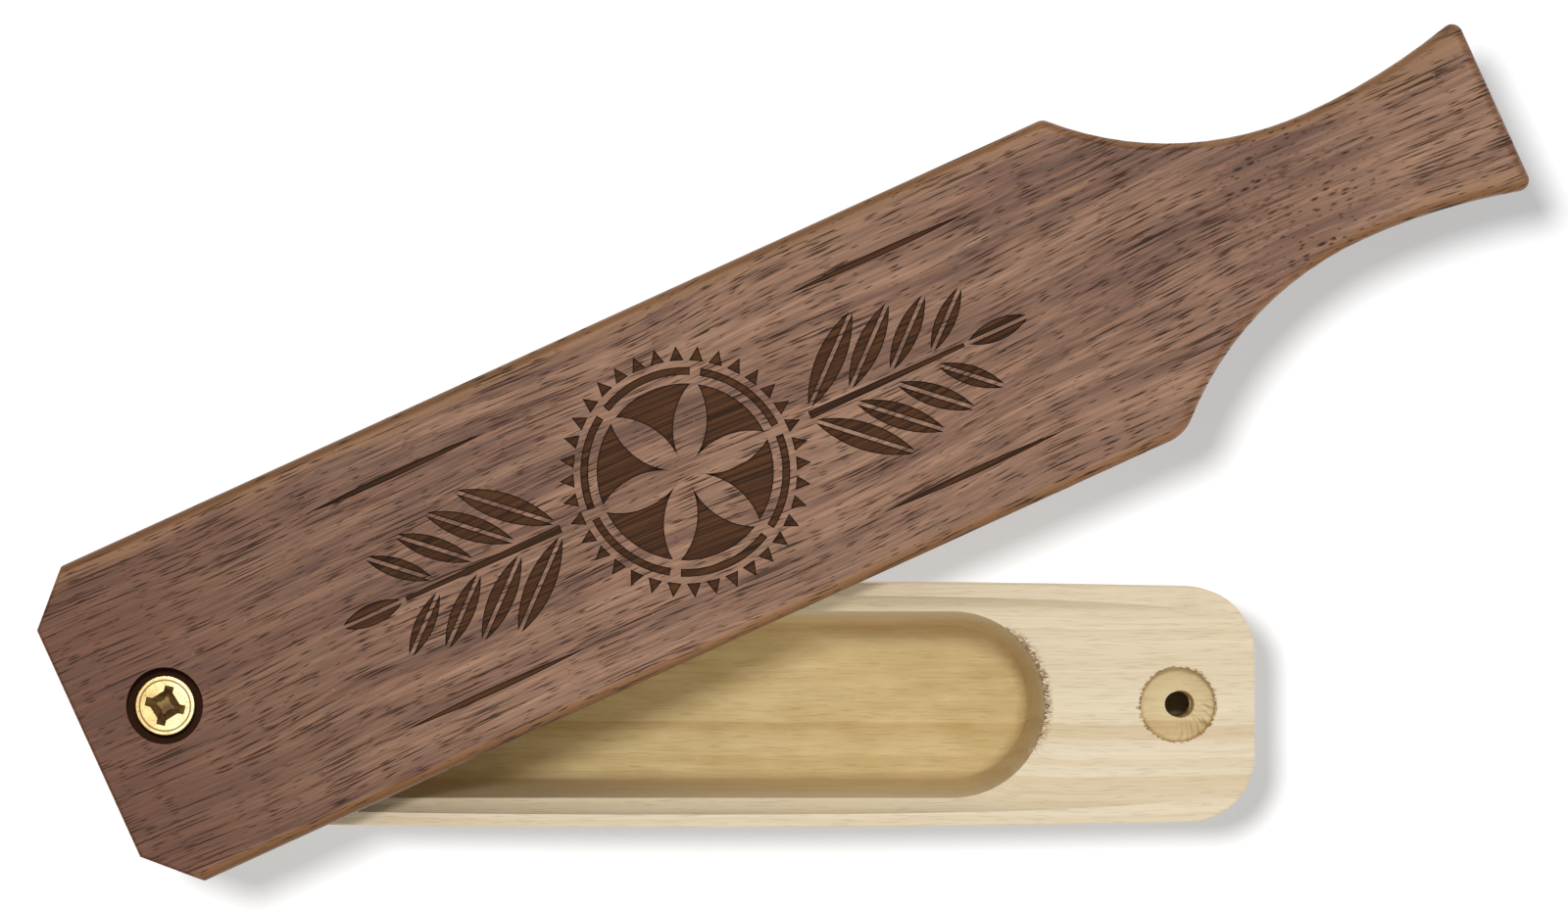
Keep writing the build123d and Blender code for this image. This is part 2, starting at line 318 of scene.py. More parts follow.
def draw_rosette(shape):
    """Six pale petals left standing between burnt fields, a broken ring and a row of teeth."""
    hub, rim, petals = 2.0, 14.6, 6
    field = 27.5  # half the angle that a burnt field takes at the rim
    petal_swell = 1.9
    ring_inner, ring_outer, ring_half = 16.0, 17.3, 27.0
    tooth_foot, tooth_tip, tooth_half, teeth = 18.4, 20.8, 3.7, 36
    for step in range(petals):
        middle = 360 / petals * (step + 0.5)
        draw(shape, [
            ring_point(hub, middle, -petal_swell),
            ring_point(rim, middle - field, swell(rim, field)),
            ring_point(rim, middle + field, -petal_swell),
        ])
        draw(shape, [
            ring_point(ring_outer, middle - ring_half, swell(ring_outer, ring_half)),
            ring_point(ring_outer, middle + ring_half),
            ring_point(ring_inner, middle + ring_half, -swell(ring_inner, ring_half)),
            ring_point(ring_inner, middle - ring_half),
        ])
    for step in range(teeth):
        middle = 360 / teeth * step
        draw(shape, [
            ring_point(tooth_foot, middle - tooth_half),
            ring_point(tooth_tip, middle),
            ring_point(tooth_foot, middle + tooth_half),
        ])


def draw_leaf(shape, size, swelling, place):
    """A leaf burnt as two halves, with its rib left pale."""
    half_rib = 0.3
    draw(shape, [(0, half_rib, 0), (size, half_rib, swelling)], place)
    draw(shape, [(0, -half_rib, swelling), (size, -half_rib, 0)], place)


def draw_spray(shape, turn):
    """A spray of paired leaves on a tapering stem, out from the rosette on one side, between two lines."""
    stem_start, stem_end, stem_foot, stem_tip = 22.5, 50.5, 0.7, 0.35
    leaf_pairs, leaf_pitch, first_leaf, stem_gap = 4, 7.4, stem_start + 0.6, 1.3
    leaf_lean = math.radians(42)
    leaf_size, leaf_taper, leaf_swell = 17.0, 1.9, 0.118  # each pair is shorter, and swells by its size
    end_leaf, end_swell, end_gap = 10.5, 1.5, 0.8
    line_start, line_end, line_v, line_swell = 27.0, 60.0, 19.6, 0.55
    side = Matrix.Rotation(turn, 3, "Z")
    draw(shape, [
        (stem_start, -stem_foot, 0), (stem_end, -stem_tip, 0),
        (stem_end, stem_tip, 0), (stem_start, stem_foot, 0),
    ], side)
    for step in range(leaf_pairs):
        size = leaf_size - leaf_taper * step
        along = first_leaf + leaf_pitch * step
        for hand in (1, -1):
            place = side @ Matrix(((1, 0, along), (0, 1, hand * stem_gap), (0, 0, 1)))
            draw_leaf(shape, size, leaf_swell * size, place @ Matrix.Rotation(hand * leaf_lean, 3, "Z"))
    place = side @ Matrix(((1, 0, stem_end + end_gap), (0, 1, 0), (0, 0, 1)))
    draw_leaf(shape, end_leaf, end_swell, place)
    for hand in (1, -1):
        draw(shape, [
            (line_start, hand * line_v, line_swell), (line_end, hand * line_v, line_swell),
        ], side)


def ornament_tool(settings):
    """Solids that burn the ornament into the lid's top."""
    above, skin = 0.5 * MM, 0.02 * MM  # upright from above the face to just below it, then sloping
    shape = bmesh.new()
    draw_rosette(shape)
    for turn in (0, math.pi):
        draw_spray(shape, turn)
    bmesh.ops.translate(shape, verts=shape.verts, vec=(0, 0, above))
    lifted = bmesh.ops.extrude_face_region(shape, geom=shape.faces[:], use_keep_orig=True)
    lower = [item for item in lifted["geom"] if isinstance(item, bmesh.types.BMVert)]
    floors = [item for item in lifted["geom"] if isinstance(item, bmesh.types.BMFace)]
    bmesh.ops.translate(shape, verts=lower, vec=(0, 0, -above - skin))
    bmesh.ops.recalc_face_normals(shape, faces=shape.faces)
    bmesh.ops.inset_region(
        shape, faces=floors, use_boundary=True, use_even_offset=True,
        thickness=settings.burn_slope, depth=settings.burn_depth - skin,
    )
    bmesh.ops.translate(shape, verts=shape.verts, vec=(settings.ornament_u, 0, 0))
    bmesh.ops.transform(shape, verts=shape.verts, matrix=LID_FRAME)
    return new_object("ornament_tool", shape)


def walnut(settings):
    """Oiled walnut, planed and sanded to a satin: long pale and purple-brown bands, dark open pores
    as dashes along the grain, warmer on the rounded edges, partly from sanding and partly painted light
    where the edges miss the sheen, and charred where it is burnt, with painted shade on the burnt walls."""
    material, add = new_material("oiled_walnut")
    spot = add("TexCoord")
    # Millimetres along, across and up from the lid's pivot on its top face; places below are in these
    lid = add("Mapping", {
        "Vector": spot["Object"], "Location": LID_FRAME.translation,
        "Rotation": (0, 0, SWING), "Scale": (MM, MM, MM),
    }, vector_type="TEXTURE")[0]
    axes = add("SeparateXYZ", {0: lid})
    half = add("Math", {0: axes["Y"]}, operation="ABSOLUTE")[0]
    # The grain wanders a few millimetres over a hand's length
    wave, wander = (85.0, 34.0, 34.0), 2.5
    drift = add("Mapping", {"Vector": lid, "Scale": tuple(1 / s for s in wave)})[0]
    drift = add("TexNoise", {"Vector": drift, "Scale": 1.0, "Detail": 1.0})[0]
    drift = add("MapRange", {0: drift, 1: 0.2, 2: 0.8, 3: -wander, 4: wander})[0]
    drift = add("CombineXYZ", {"Y": drift, "Z": drift})[0]
    grain = add("VectorMath", {0: lid, 1: drift}, operation="ADD")[0]

    # Patterns: size along, across and up, detail, and the noise that counts as none and as full
    layers = {}
    for name, size, detail, low, high in (
        ("band", (75.0, 5.5, 9.0), 3.0, 0.36, 0.64),
        ("streak", (12.0, 0.6, 0.9), 2.0, 0.34, 0.66),
        ("fibre", (18.0, 0.38, 0.38), 2.0, 0.30, 0.70),
        ("cluster", (34.0, 3.2, 5.0), 2.0, 0.40, 0.62),
        ("figure", (16.0, 7.0, 9.0), 2.0, 0.45, 0.65),
        ("burn_line", (30.0, 0.42, 5.0), 2.0, 0.30, 0.70),
    ):
        place = add("Mapping", {"Vector": grain, "Scale": tuple(1 / s for s in size)})[0]
        made = add("TexNoise", {"Vector": place, "Scale": 1.0, "Detail": detail})[0]
        layers[name] = add("MapRange", {0: made, 1: low, 2: high}, interpolation_type="SMOOTHSTEP")[0]

    # Where the pores lie: by the grain on the top face, and by the height down the sides
    side_start, fray, fray_size = 2.0, 0.2, (2.4, 0.7, 2.0)
    ways = add("SeparateXYZ", {0: grain})
    under = add("Math", {0: axes["Z"], 1: side_start}, operation="ADD")[0]
    under = add("Math", {0: under, 1: 0.0}, operation="MINIMUM")[0]
    flat = add("Math", {0: ways["Y"], 1: under}, operation="ADD")[0]
    ragged = add("Mapping", {"Vector": lid, "Scale": tuple(1 / s for s in fray_size)})[0]
    ragged = add("TexNoise", {"Vector": ragged, "Scale": 1.0, "Detail": 2.0})[0]
    flat = add("Math", {0: ragged, 1: fray, 2: flat}, operation="MULTIPLY_ADD")[0]
    flat = add("CombineXYZ", {"X": ways["X"], "Y": flat})[0]
    share = add("MapRange", {0: layers["cluster"], 3: 0.6, 4: 1.1})[0]
    # Pores as single dashes, drawn a little broader than real ones so that they show, and specks of dust:
    # one to a cell of this size, with a reach by chance, and none where that is below zero
    least_reach, core_share = 0.001, 0.3
    for name, size, least, most in (
        ("line", (26.0, 0.5, 1.0), -0.10, 0.37), ("pore", (12.0, 0.5, 1.0), -0.12, 0.39),
        ("short", (5.0, 0.5, 1.0), -0.24, 0.37), ("speck", (2.5, 0.8, 1.0), -0.02, 0.46),
        ("dust", (9.0, 9.0, 1.0), -0.02, 0.018),
    ):
        place = add("Mapping", {"Vector": flat, "Scale": tuple(1 / s for s in size)})[0]
        cell = add("TexVoronoi", {"Vector": place, "Scale": 1.0}, voronoi_dimensions="2D")
        chance = add("SeparateColor", {0: cell["Color"]})[0]
        reach = add("MapRange", {0: chance, 3: least, 4: most})[0]
        reach = add("Math", {0: reach, 1: share}, operation="MULTIPLY")[0]
        reach = add("Math", {0: reach, 1: least_reach}, operation="MAXIMUM")[0]
        core = add("Math", {0: reach, 1: core_share}, operation="MULTIPLY")[0]
        layers[name] = add("MapRange", {0: cell["Distance"], 1: reach, 2: core})[0]
    for name in ("short", "line"):
        layers["pore"] = add("Math", {0: layers["pore"], 1: layers[name]}, operation="MAXIMUM")[0]

    # The grain dives at the handle's root: a dark cloud, and beside it pores cut short to specks
    patchy = add("MapRange", {0: layers["figure"], 3: 0.45, 4: 1.0})[0]
    for name, centre, outer, inner in (
        ("cloud", (186.0, -2.0, 0.0), 24.0, 5.0), ("dive", (205.0, 0.0, 0.0), 18.0, 9.0),
    ):
        off = add("VectorMath", {0: lid, 1: centre}, operation="DISTANCE")["Value"]
        off = add("MapRange", {0: off, 1: outer, 2: inner}, interpolation_type="SMOOTHSTEP")[0]
        layers[name] = add("Math", {0: off, 1: patchy}, operation="MULTIPLY")[0]
    pores = add("Mix", {0: layers["dive"], 2: layers["pore"], 3: layers["speck"]})[0]

    # From dark through middle to light, by bands and the streaks in them
    streak_share, band_share, least_tone = 0.42, 0.56, 0.02
    tone = add("Math", {0: layers["streak"], 1: streak_share, 2: least_tone}, operation="MULTIPLY_ADD")[0]
    tone = add("Math", {0: layers["band"], 1: band_share, 2: tone}, operation="MULTIPLY_ADD")[0]
    upper = add("MapRange", {0: tone, 1: 0.5, 2: 1.0})[0]
    lower = add("MapRange", {0: tone, 1: 0.0, 2: 0.5})[0]
    wood = add("Mix", {0: lower, 6: (*settings.dark, 1), 7: (*settings.middle, 1)}, data_type="RGBA")[2]
    wood = add("Mix", {0: upper, 6: wood, 7: (*settings.light, 1)}, data_type="RGBA")[2]
    # Paler along the near side and at the tip, and browner behind the pivot
    zones = {}
    for name, axis, start, full, most, blend in (
        ("near", "Y", -15.0, -22.0, 0.4, "LINEAR"), ("ahead", "X", 30.0, 60.0, 1.0, "LINEAR"),
        ("tip", "X", 208.0, 222.0, 0.35, "LINEAR"), ("rear", "X", 60.0, -14.0, 0.85, "SMOOTHSTEP"),
    ):
        zone = {0: axes[axis], 1: start, 2: full, 4: most}
        zones[name] = add("MapRange", zone, interpolation_type=blend)[0]
    paler = add("Math", {0: zones["near"], 1: zones["ahead"]}, operation="MULTIPLY")[0]
    paler = add("Math", {0: paler, 1: zones["tip"]}, operation="MAXIMUM")[0]
    wood = add("Mix", {0: paler, 6: wood, 7: (*settings.light, 1)}, data_type="RGBA")[2]
    wood = add("Mix", {0: zones["rear"], 6: wood, 7: (*settings.warm, 1)}, data_type="RGBA")[2]
    dive_share, cloud_share = 0.7, 0.36
    cloud = add("Math", {0: layers["dive"], 1: dive_share, 2: layers["cloud"]}, operation="MULTIPLY_ADD")[0]
    cloud = add("Math", {0: cloud, 1: cloud_share}, operation="MULTIPLY")[0]
    wood = add("Mix", {0: cloud, 6: wood, 7: (*settings.dark, 1)}, data_type="RGBA")[2]
    fine = add("MapRange", {0: layers["fibre"], 3: 0.74, 4: 1.20})[0]
    wood = add("VectorMath", {0: wood, "Scale": fine}, operation="SCALE")[0]

    # Edges, by how far in from the outline: a brown strip along the sides with a gold line inside it,
    # broader on the far side and towards the tip, thin round the shoulders, and dark end grain. The strip
    # and the line are partly sanding wear and partly painted light: the brown stands for rounded edges that
    # miss the top's sheen, and the gold line is a painted highlight.
    inset = add("Math", {0: LID_SIDE, 1: half}, operation="SUBTRACT")[0]
    fan = add("CombineXYZ", {"X": axes["X"], "Y": half})[0]
    arcs = []
    for off, radius in HANDLE_ARCS:
        arc = add("VectorMath", {0: fan, 1: (NECK, off, 0)}, operation="DISTANCE")["Value"]
        arcs.append(add("Math", {0: arc, 1: radius}, operation="SUBTRACT")[0])
    before = add("Math", {0: NECK, 1: axes["X"]}, operation="SUBTRACT")[0]
    out_of_play = 50.0  # the second arc counts only after the neck
    before = add("MapRange", {0: before, 1: 0.0, 2: 1.0, 4: out_of_play})[0]
    arcs[1] = add("Math", {0: arcs[1], 1: before}, operation="ADD")[0]
    for arc in arcs:
        inset = add("Math", {0: inset, 1: arc}, operation="MINIMUM")[0]
    near_strip, far_strip = 1.1, 1.65
    strip = add("MapRange", {0: axes["Y"], 1: -2.0, 2: 2.0, 3: near_strip, 4: far_strip})[0]
    for first, last, change in ((168.0, 176.0, 0.3), (198.0, 212.0, 3.3), (214.0, 238.0, 1.9)):
        change = add("MapRange", {0: axes["X"], 1: first, 2: last, 3: 1.0, 4: change})[0]
        strip = add("Math", {0: strip, 1: change}, operation="MULTIPLY")[0]
    uneven = add("MapRange", {0: layers["streak"], 3: 0.84, 4: 1.16})[0]
    strip = add("Math", {0: strip, 1: uneven}, operation="MULTIPLY")[0]
    strip = add("Math", {0: inset, 1: strip}, operation="DIVIDE")[0]
    rounded = add("MapRange", {0: axes["Z"], 1: -3.6, 2: -1.8}, interpolation_type="SMOOTHSTEP")[0]
    lighter = add("MapRange", {0: axes["X"], 1: 50.0, 2: 110.0, 3: 0.8, 4: 0.45})[0]
    # Painted light over sanding wear: first the gold highlight line, then the brown of edges that miss the sheen
    for colour, outer, inner, most in ((settings.worn, 2.0, 1.1, 0.6), (settings.edge, 1.05, 0.3, lighter)):
        edge = {0: strip, 1: outer, 2: inner, 4: most}
        edge = add("MapRange", edge, interpolation_type="SMOOTHSTEP")[0]
        edge = add("Math", {0: edge, 1: rounded}, operation="MULTIPLY")[0]
        wood = add("Mix", {0: edge, 6: wood, 7: (*colour, 1)}, data_type="RGBA")[2]
    tip_in = add("Math", {0: LID_TIP, 1: axes["X"]}, operation="SUBTRACT")[0]
    tip_in = add("Math", {0: layers["streak"], 1: 0.9, 2: tip_in}, operation="MULTIPLY_ADD")[0]
    ends = add("MapRange", {0: tip_in, 1: 2.0, 2: 0.4, 4: 0.6}, interpolation_type="SMOOTHSTEP")[0]
    wood = add("Mix", {0: ends, 6: wood, 7: (*settings.dark, 1)}, data_type="RGBA")[2]
    for mask, most, colour in ((pores, 0.95, settings.pore), (layers["dust"], 0.7, settings.dust)):
        mask = add("Math", {0: mask, 1: most}, operation="MULTIPLY")[0]
        wood = add("Mix", {0: mask, 6: wood, 7: (*colour, 1)}, data_type="RGBA")[2]

    # Charred below the top face in the ornament's field, and painted very dark brown in the screw's counterbore
    field_side, field_reach, bore_reach = 24.0, 70.0, 6.5
    inside = add("MapRange", {0: half, 1: field_side + 0.5, 2: field_side})[0]
    middle = add("Math", {0: axes["X"], 1: settings.ornament_u / MM}, operation="SUBTRACT")[0]
    middle = add("Math", {0: middle}, operation="ABSOLUTE")[0]
    middle = add("MapRange", {0: middle, 1: field_reach + 0.5, 2: field_reach})[0]
    inside = add("Math", {0: inside, 1: middle}, operation="MULTIPLY")[0]
    bore = add("VectorMath", {0: lid, 1: (0, -LID_MIDDLE / MM, 0)}, operation="SUBTRACT")[0]
    bore = add("VectorMath", {0: bore, 1: (1, 1, 0)}, operation="MULTIPLY")[0]
    bore = add("VectorMath", {0: bore}, operation="LENGTH")["Value"]
    bore = add("MapRange", {0: bore, 1: bore_reach + 0.3, 2: bore_reach})[0]
    inside = add("Math", {0: inside, 1: bore}, operation="MAXIMUM")[0]
    above_seat = add("MapRange", {0: axes["Z"], 1: -5.5, 2: -5.0})[0]
    burnt = add("MapRange", {0: axes["Z"], 1: -0.01, 2: -0.06})[0]
    for mask in (inside, above_seat):
        burnt = add("Math", {0: burnt, 1: mask}, operation="MULTIPLY")[0]
    # Painted shade: steep burnt walls take the near-black wall colour, level burnt floors the browner floor colour
    facing_up = add("SeparateXYZ", {0: spot["Normal"]})["Z"]
    level = add("MapRange", {0: facing_up, 1: 0.90, 2: 0.97})[0]
    streaks = add("MapRange", {0: layers["burn_line"], 3: 0.15, 4: 1.0})[0]
    shallow = add("MapRange", {0: axes["Z"], 1: -3.0, 2: -1.0})[0]
    for mask in (streaks, shallow):
        level = add("Math", {0: level, 1: mask}, operation="MULTIPLY")[0]
    char = {0: level, 6: (*settings.burn_wall_and_shade, 1), 7: (*settings.burn_floor, 1)}
    char = add("Mix", char, data_type="RGBA")[2]
    char = add("Mix", {0: bore, 6: char, 7: (*settings.bore, 1)}, data_type="RGBA")[2]
    wood = add("Mix", {0: burnt, 6: wood, 7: char}, data_type="RGBA")[2]

    rough = add("MapRange", {0: pores, 3: 0.42, 4: 0.75})[0]
    rough = add("Mix", {0: burnt, 2: rough, 3: 0.85})[0]
    height = add("Math", {0: layers["fibre"], 1: 0.12, 2: 1.0}, operation="MULTIPLY_ADD")[0]
    height = add("Math", {0: height, 1: pores}, operation="SUBTRACT")[0]
    bump = add("Bump", {"Height": height, "Strength": 0.4, "Distance": 0.05 * MM})[0]
    # Oil soaks in, so that the sheen stays low
    surface = add("BsdfPrincipled", {
        "Base Color": wood, "Roughness": rough, "Normal": bump, "Specular IOR Level": 0.3,
    })
    add("OutputMaterial", {"Surface": surface[0]})
    return material


def poplar(settings):
    """Bare sanded poplar: pale cream, with straight faint growth rings along the box, short open grain,
    yellower and darker down the milled chamber, partly its own tint and partly painted shade and warm
    bounce light, and brown torn grain at the end-grain rims."""
    material, add = new_material("sanded_poplar")
    spot = add("TexCoord")
    # Millimetres in the box's frame; places below are in these
    place = add("Mapping", {"Vector": spot["Object"], "Scale": (MM, MM, MM)}, vector_type="TEXTURE")[0]
    axes = add("SeparateXYZ", {0: place})
    wave, wander = (40.0, 20.0, 20.0), 0.8
    drift = add("Mapping", {"Vector": place, "Scale": tuple(1 / s for s in wave)})[0]
    drift = add("TexNoise", {"Vector": drift, "Scale": 1.0, "Detail": 3.0})[0]
    drift = add("MapRange", {0: drift, 1: 0.2, 2: 0.8, 3: -wander, 4: wander})[0]
    # Rings about a heart far off to the side, so that they cross the box almost upright
    heart_y, heart_z = 120.0, 23.0
    across = add("Math", {0: axes["Y"], 1: heart_y}, operation="ADD")[0]
    rise = add("Math", {0: axes["Z"], 1: heart_z}, operation="SUBTRACT")[0]
    reach = add("CombineXYZ", {"Y": across, "Z": rise})[0]
    reach = add("VectorMath", {0: reach}, operation="LENGTH")["Value"]
    reach = add("Math", {0: reach, 1: drift}, operation="ADD")[0]
    grain = add("CombineXYZ", {"X": axes["X"], "Y": reach, "Z": axes["Z"]})[0]

    # Patterns: size along, across and up, detail, and the noise that counts as none and as full
    layers = {}
    for name, size, detail, low, high in (
        ("band", (220.0, 4.5, 30.0), 2.0, 0.35, 0.68),
        ("streak", (60.0, 0.7, 6.0), 2.0, 0.32, 0.70),
        ("fibre", (14.0, 0.22, 0.8), 2.0, 0.30, 0.72),
        ("pit", (4.5, 0.16, 0.6), 0.5, 0.64, 0.72),
        ("mottle", (9.0, 3.5, 8.0), 3.0, 0.35, 0.68),
        ("tear", (0.8, 0.30, 0.4), 2.0, 0.44, 0.58),
    ):
        layer = add("Mapping", {"Vector": grain, "Scale": tuple(1 / s for s in size)})[0]
        layer = add("TexNoise", {"Vector": layer, "Scale": 1.0, "Detail": detail})[0]
        layers[name] = add("MapRange", {0: layer, 1: low, 2: high}, interpolation_type="SMOOTHSTEP")[0]
    # Late wood: dark on one side of each ring's line, fading away from it over a width, by a strength
    band_share, streak_share, half_line = 0.26, 0.22, 0.12
    tone = add("Math", {0: layers["band"], 1: band_share}, operation="MULTIPLY")[0]
    tone = add("Math", {0: layers["streak"], 1: streak_share, 2: tone}, operation="MULTIPLY_ADD")[0]
    for line_y, fade, strongest in (
        (13.4, 3.0, 0.30), (5.9, 3.5, 0.22), (-2.4, 4.5, 0.50),
        (-7.8, 2.0, 0.34), (-10.7, 5.0, 0.36), (-17.0, 3.0, 0.3),
    ):
        line = heart_y + line_y
        late = {0: reach, 1: line - fade, 2: line, 4: strongest}
        late = add("MapRange", late, interpolation_type="SMOOTHSTEP")[0]
        below = add("MapRange", {0: reach, 1: line + half_line, 2: line - half_line})[0]
        tone = add("Math", {0: late, 1: below, 2: tone}, operation="MULTIPLY_ADD")[0]
    tone = add("Math", {0: tone, 1: 1.0}, operation="MINIMUM")[0]
    wood = add("Mix", {0: tone, 6: (*settings.pale, 1), 7: (*settings.ring, 1)}, data_type="RGBA")[2]
    pits = add("Math", {0: layers["pit"], 1: 0.28}, operation="MULTIPLY")[0]
    wood = add("Mix", {0: pits, 6: wood, 7: (*settings.pit, 1)}, data_type="RGBA")[2]
    fine = add("MapRange", {0: layers["fibre"], 3: 0.965, 4: 1.025})[0]
    wood = add("VectorMath", {0: wood, "Scale": fine}, operation="SCALE")[0]

    # The milled chamber is yellower and darker with depth, down to its floor, and mottled: partly the wood's
    # own tint and partly painted shade and warm bounce light in the hollow. This stain and those below are
    # shares of the wood's own red, green and blue
    top, floor, chamber_side, chamber_end = END_TOP / MM, 9.0, 16.0, 62.0
    deep = add("MapRange", {0: axes["Z"], 1: top - 0.2, 2: top - 12.0}, interpolation_type="SMOOTHSTEP")[0]
    side = add("Math", {0: axes["Y"]}, operation="ABSOLUTE")[0]
    side = add("MapRange", {0: side, 1: chamber_side + 0.6, 2: chamber_side})[0]
    along = add("Math", {0: axes["X"]}, operation="ABSOLUTE")[0]
    along = add("MapRange", {0: along, 1: chamber_end + 1.0, 2: chamber_end})[0]
    milled = add("MapRange", {0: axes["Z"], 1: floor - 4.0, 2: floor - 1.0})[0]
    facing = add("SeparateXYZ", {0: spot["Normal"]})
    level = add("MapRange", {0: facing["Z"], 3: 0.3, 4: 1.0})[0]
    for mask in (side, along, milled, level):
        deep = add("Math", {0: deep, 1: mask}, operation="MULTIPLY")[0]
    stain = {0: layers["mottle"], 6: (0.93, 0.86, 0.58, 1), 7: (1.04, 0.98, 0.72, 1)}
    stain = add("Mix", stain, data_type="RGBA")[2]
    deep_tint_and_shade = add("VectorMath", {0: wood, 1: stain}, operation="MULTIPLY")[0]
    wood = add("Mix", {0: deep, 6: wood, 7: deep_tint_and_shade}, data_type="RGBA")[2]
    # End grain drinks the light, and the coves at the lips' feet get a little painted shade
    ends = add("Math", {0: facing["X"]}, operation="ABSOLUTE")[0]
    ends = add("MapRange", {0: ends, 1: 0.2, 2: 0.9, 4: 0.5})[0]
    for mask in (side, along, milled):
        ends = add("Math", {0: ends, 1: mask}, operation="MULTIPLY")[0]
    grainy = {0: layers["tear"], 6: (0.76, 0.70, 0.58, 1), 7: (0.60, 0.52, 0.38, 1)}
    grainy = add("Mix", grainy, data_type="RGBA")[2]
    grainy = add("VectorMath", {0: wood, 1: grainy}, operation="MULTIPLY")[0]
    wood = add("Mix", {0: ends, 6: wood, 7: grainy}, data_type="RGBA")[2]
    cove = add("MapRange", {0: facing["Z"], 1: 0.99, 2: 0.80, 4: 0.6})[0]
    high = add("MapRange", {0: axes["Z"], 1: top - 0.1, 2: top})[0]
    cove = add("Math", {0: cove, 1: high}, operation="MULTIPLY")[0]
    cove_shade = add("VectorMath", {0: wood, 1: (0.90, 0.88, 0.82)}, operation="MULTIPLY")[0]
    wood = add("Mix", {0: cove, 6: wood, 7: cove_shade}, data_type="RGBA")[2]

    # Torn end grain: round the chamber's free end on one side, and round the spare spring seat
    torn, fade = [], 4.0
    for centre_x, radius, width, low_y, high_y in (
        ((CHAMBER_END_X - CHAMBER_RADIUS) / MM, CHAMBER_RADIUS / MM, 1.5, -9.0, 14.0),
        (SPARE_X / MM, SPARE_RADIUS / MM, 0.35, -9.0, 9.0),
    ):
        off = add("VectorMath", {0: place, 1: (centre_x, 0, 0)}, operation="SUBTRACT")[0]
        off = add("VectorMath", {0: off, 1: (1, 1, 0)}, operation="MULTIPLY")[0]
        off = add("VectorMath", {0: off}, operation="LENGTH")["Value"]
        off = add("Math", {0: off, 1: radius}, operation="SUBTRACT")[0]
        off = add("Math", {0: off}, operation="ABSOLUTE")[0]
        rim = add("MapRange", {0: off, 1: width, 2: 0.1})[0]
        above = add("MapRange", {0: axes["Y"], 1: low_y, 2: low_y + fade})[0]
        under = add("MapRange", {0: axes["Y"], 1: high_y, 2: high_y - fade})[0]
        right = add("MapRange", {0: axes["X"], 1: 52.0, 2: 54.0})[0]
        high = add("MapRange", {0: axes["Z"], 1: top - 3.5, 2: top - 1.0})[0]
        for share in (above, under, right, high):
            rim = add("Math", {0: rim, 1: share}, operation="MULTIPLY")[0]
        torn.append(rim)
    torn = add("Math", {0: torn[0], 1: torn[1]}, operation="MAXIMUM")[0]
    torn = add("Math", {0: torn, 1: layers["tear"]}, operation="MULTIPLY")[0]
    wood = add("Mix", {0: torn, 6: wood, 7: (*settings.torn, 1)}, data_type="RGBA")[2]

    # Drill marks on the spare seat's floor, out from the hole
    seat = add("VectorMath", {0: place, 1: (SPARE_X / MM, 0, 0)}, operation="SUBTRACT")[0]
    seat = add("SeparateXYZ", {0: seat})
    angle = add("Math", {0: seat["Y"], 1: seat["X"]}, operation="ARCTAN2")[0]
    sweep = add("CombineXYZ", {"X": seat["X"], "Y": seat["Y"]})[0]
    sweep = add("VectorMath", {0: sweep}, operation="LENGTH")["Value"]
    curl, marks_per_radian = 0.06, 9.0
    twist = add("Math", {0: sweep, 1: curl, 2: angle}, operation="MULTIPLY_ADD")[0]
    twist = add("Math", {0: twist, 1: marks_per_radian}, operation="MULTIPLY")[0]
    marks = add("CombineXYZ", {"X": twist, "Y": sweep})[0]
    marks = add("Mapping", {"Vector": marks, "Scale": (1.0, 0.3, 1.0)})[0]
    marks = add("TexNoise", {"Vector": marks, "Scale": 1.0, "Detail": 2.0})[0]
    marks = add("MapRange", {0: marks, 1: 0.46, 2: 0.70, 4: 0.55}, interpolation_type="SMOOTHSTEP")[0]
    ahead = add("MapRange", {0: seat["X"], 1: -1.0, 2: 4.0, 3: 0.08})[0]
    aside = add("MapRange", {0: seat["Y"], 1: 3.0, 2: -1.0, 3: 0.2})[0]
    seat_radius = SPARE_RADIUS / MM
    cut_face = add("MapRange", {0: sweep, 1: seat_radius + 0.2, 2: seat_radius})[0]
    lower = add("MapRange", {0: axes["Z"], 1: top - 0.1, 2: top - 1.5})[0]
    for mask in (milled, lower):
        cut_face = add("Math", {0: cut_face, 1: mask}, operation="MULTIPLY")[0]
    for mask in (ahead, aside, cut_face):
        marks = add("Math", {0: marks, 1: mask}, operation="MULTIPLY")[0]
    yellower = add("VectorMath", {0: wood, 1: (1.02, 0.98, 0.80)}, operation="MULTIPLY")[0]
    wood = add("Mix", {0: cut_face, 6: wood, 7: yellower}, data_type="RGBA")[2]
    # Painted shade on the seat's steep wall and its rounded foot, which are painted browner
    steep = add("MapRange", {0: facing["Z"], 1: 0.95, 2: 0.4, 4: 0.8})[0]
    steep = add("Math", {0: cut_face, 1: steep}, operation="MULTIPLY")[0]
    seat_wall_shade = add("VectorMath", {0: wood, 1: (0.74, 0.62, 0.46)}, operation="MULTIPLY")[0]
    wood = add("Mix", {0: steep, 6: wood, 7: seat_wall_shade}, data_type="RGBA")[2]
    wood = add("Mix", {0: marks, 6: wood, 7: (*settings.torn, 1)}, data_type="RGBA")[2]

    height = add("Math", {0: layers["fibre"], 1: 0.35}, operation="MULTIPLY")[0]
    for dent in (layers["pit"], torn, marks):
        height = add("Math", {0: height, 1: dent}, operation="SUBTRACT")[0]
    bump = add("Bump", {"Height": height, "Strength": 0.5, "Distance": 0.08 * MM})[0]
    surface = add("BsdfPrincipled", {
        "Base Color": wood, "Roughness": 0.62, "Normal": bump, "Specular IOR Level": 0.35,
    })
    add("OutputMaterial", {"Surface": surface[0]})
    return material


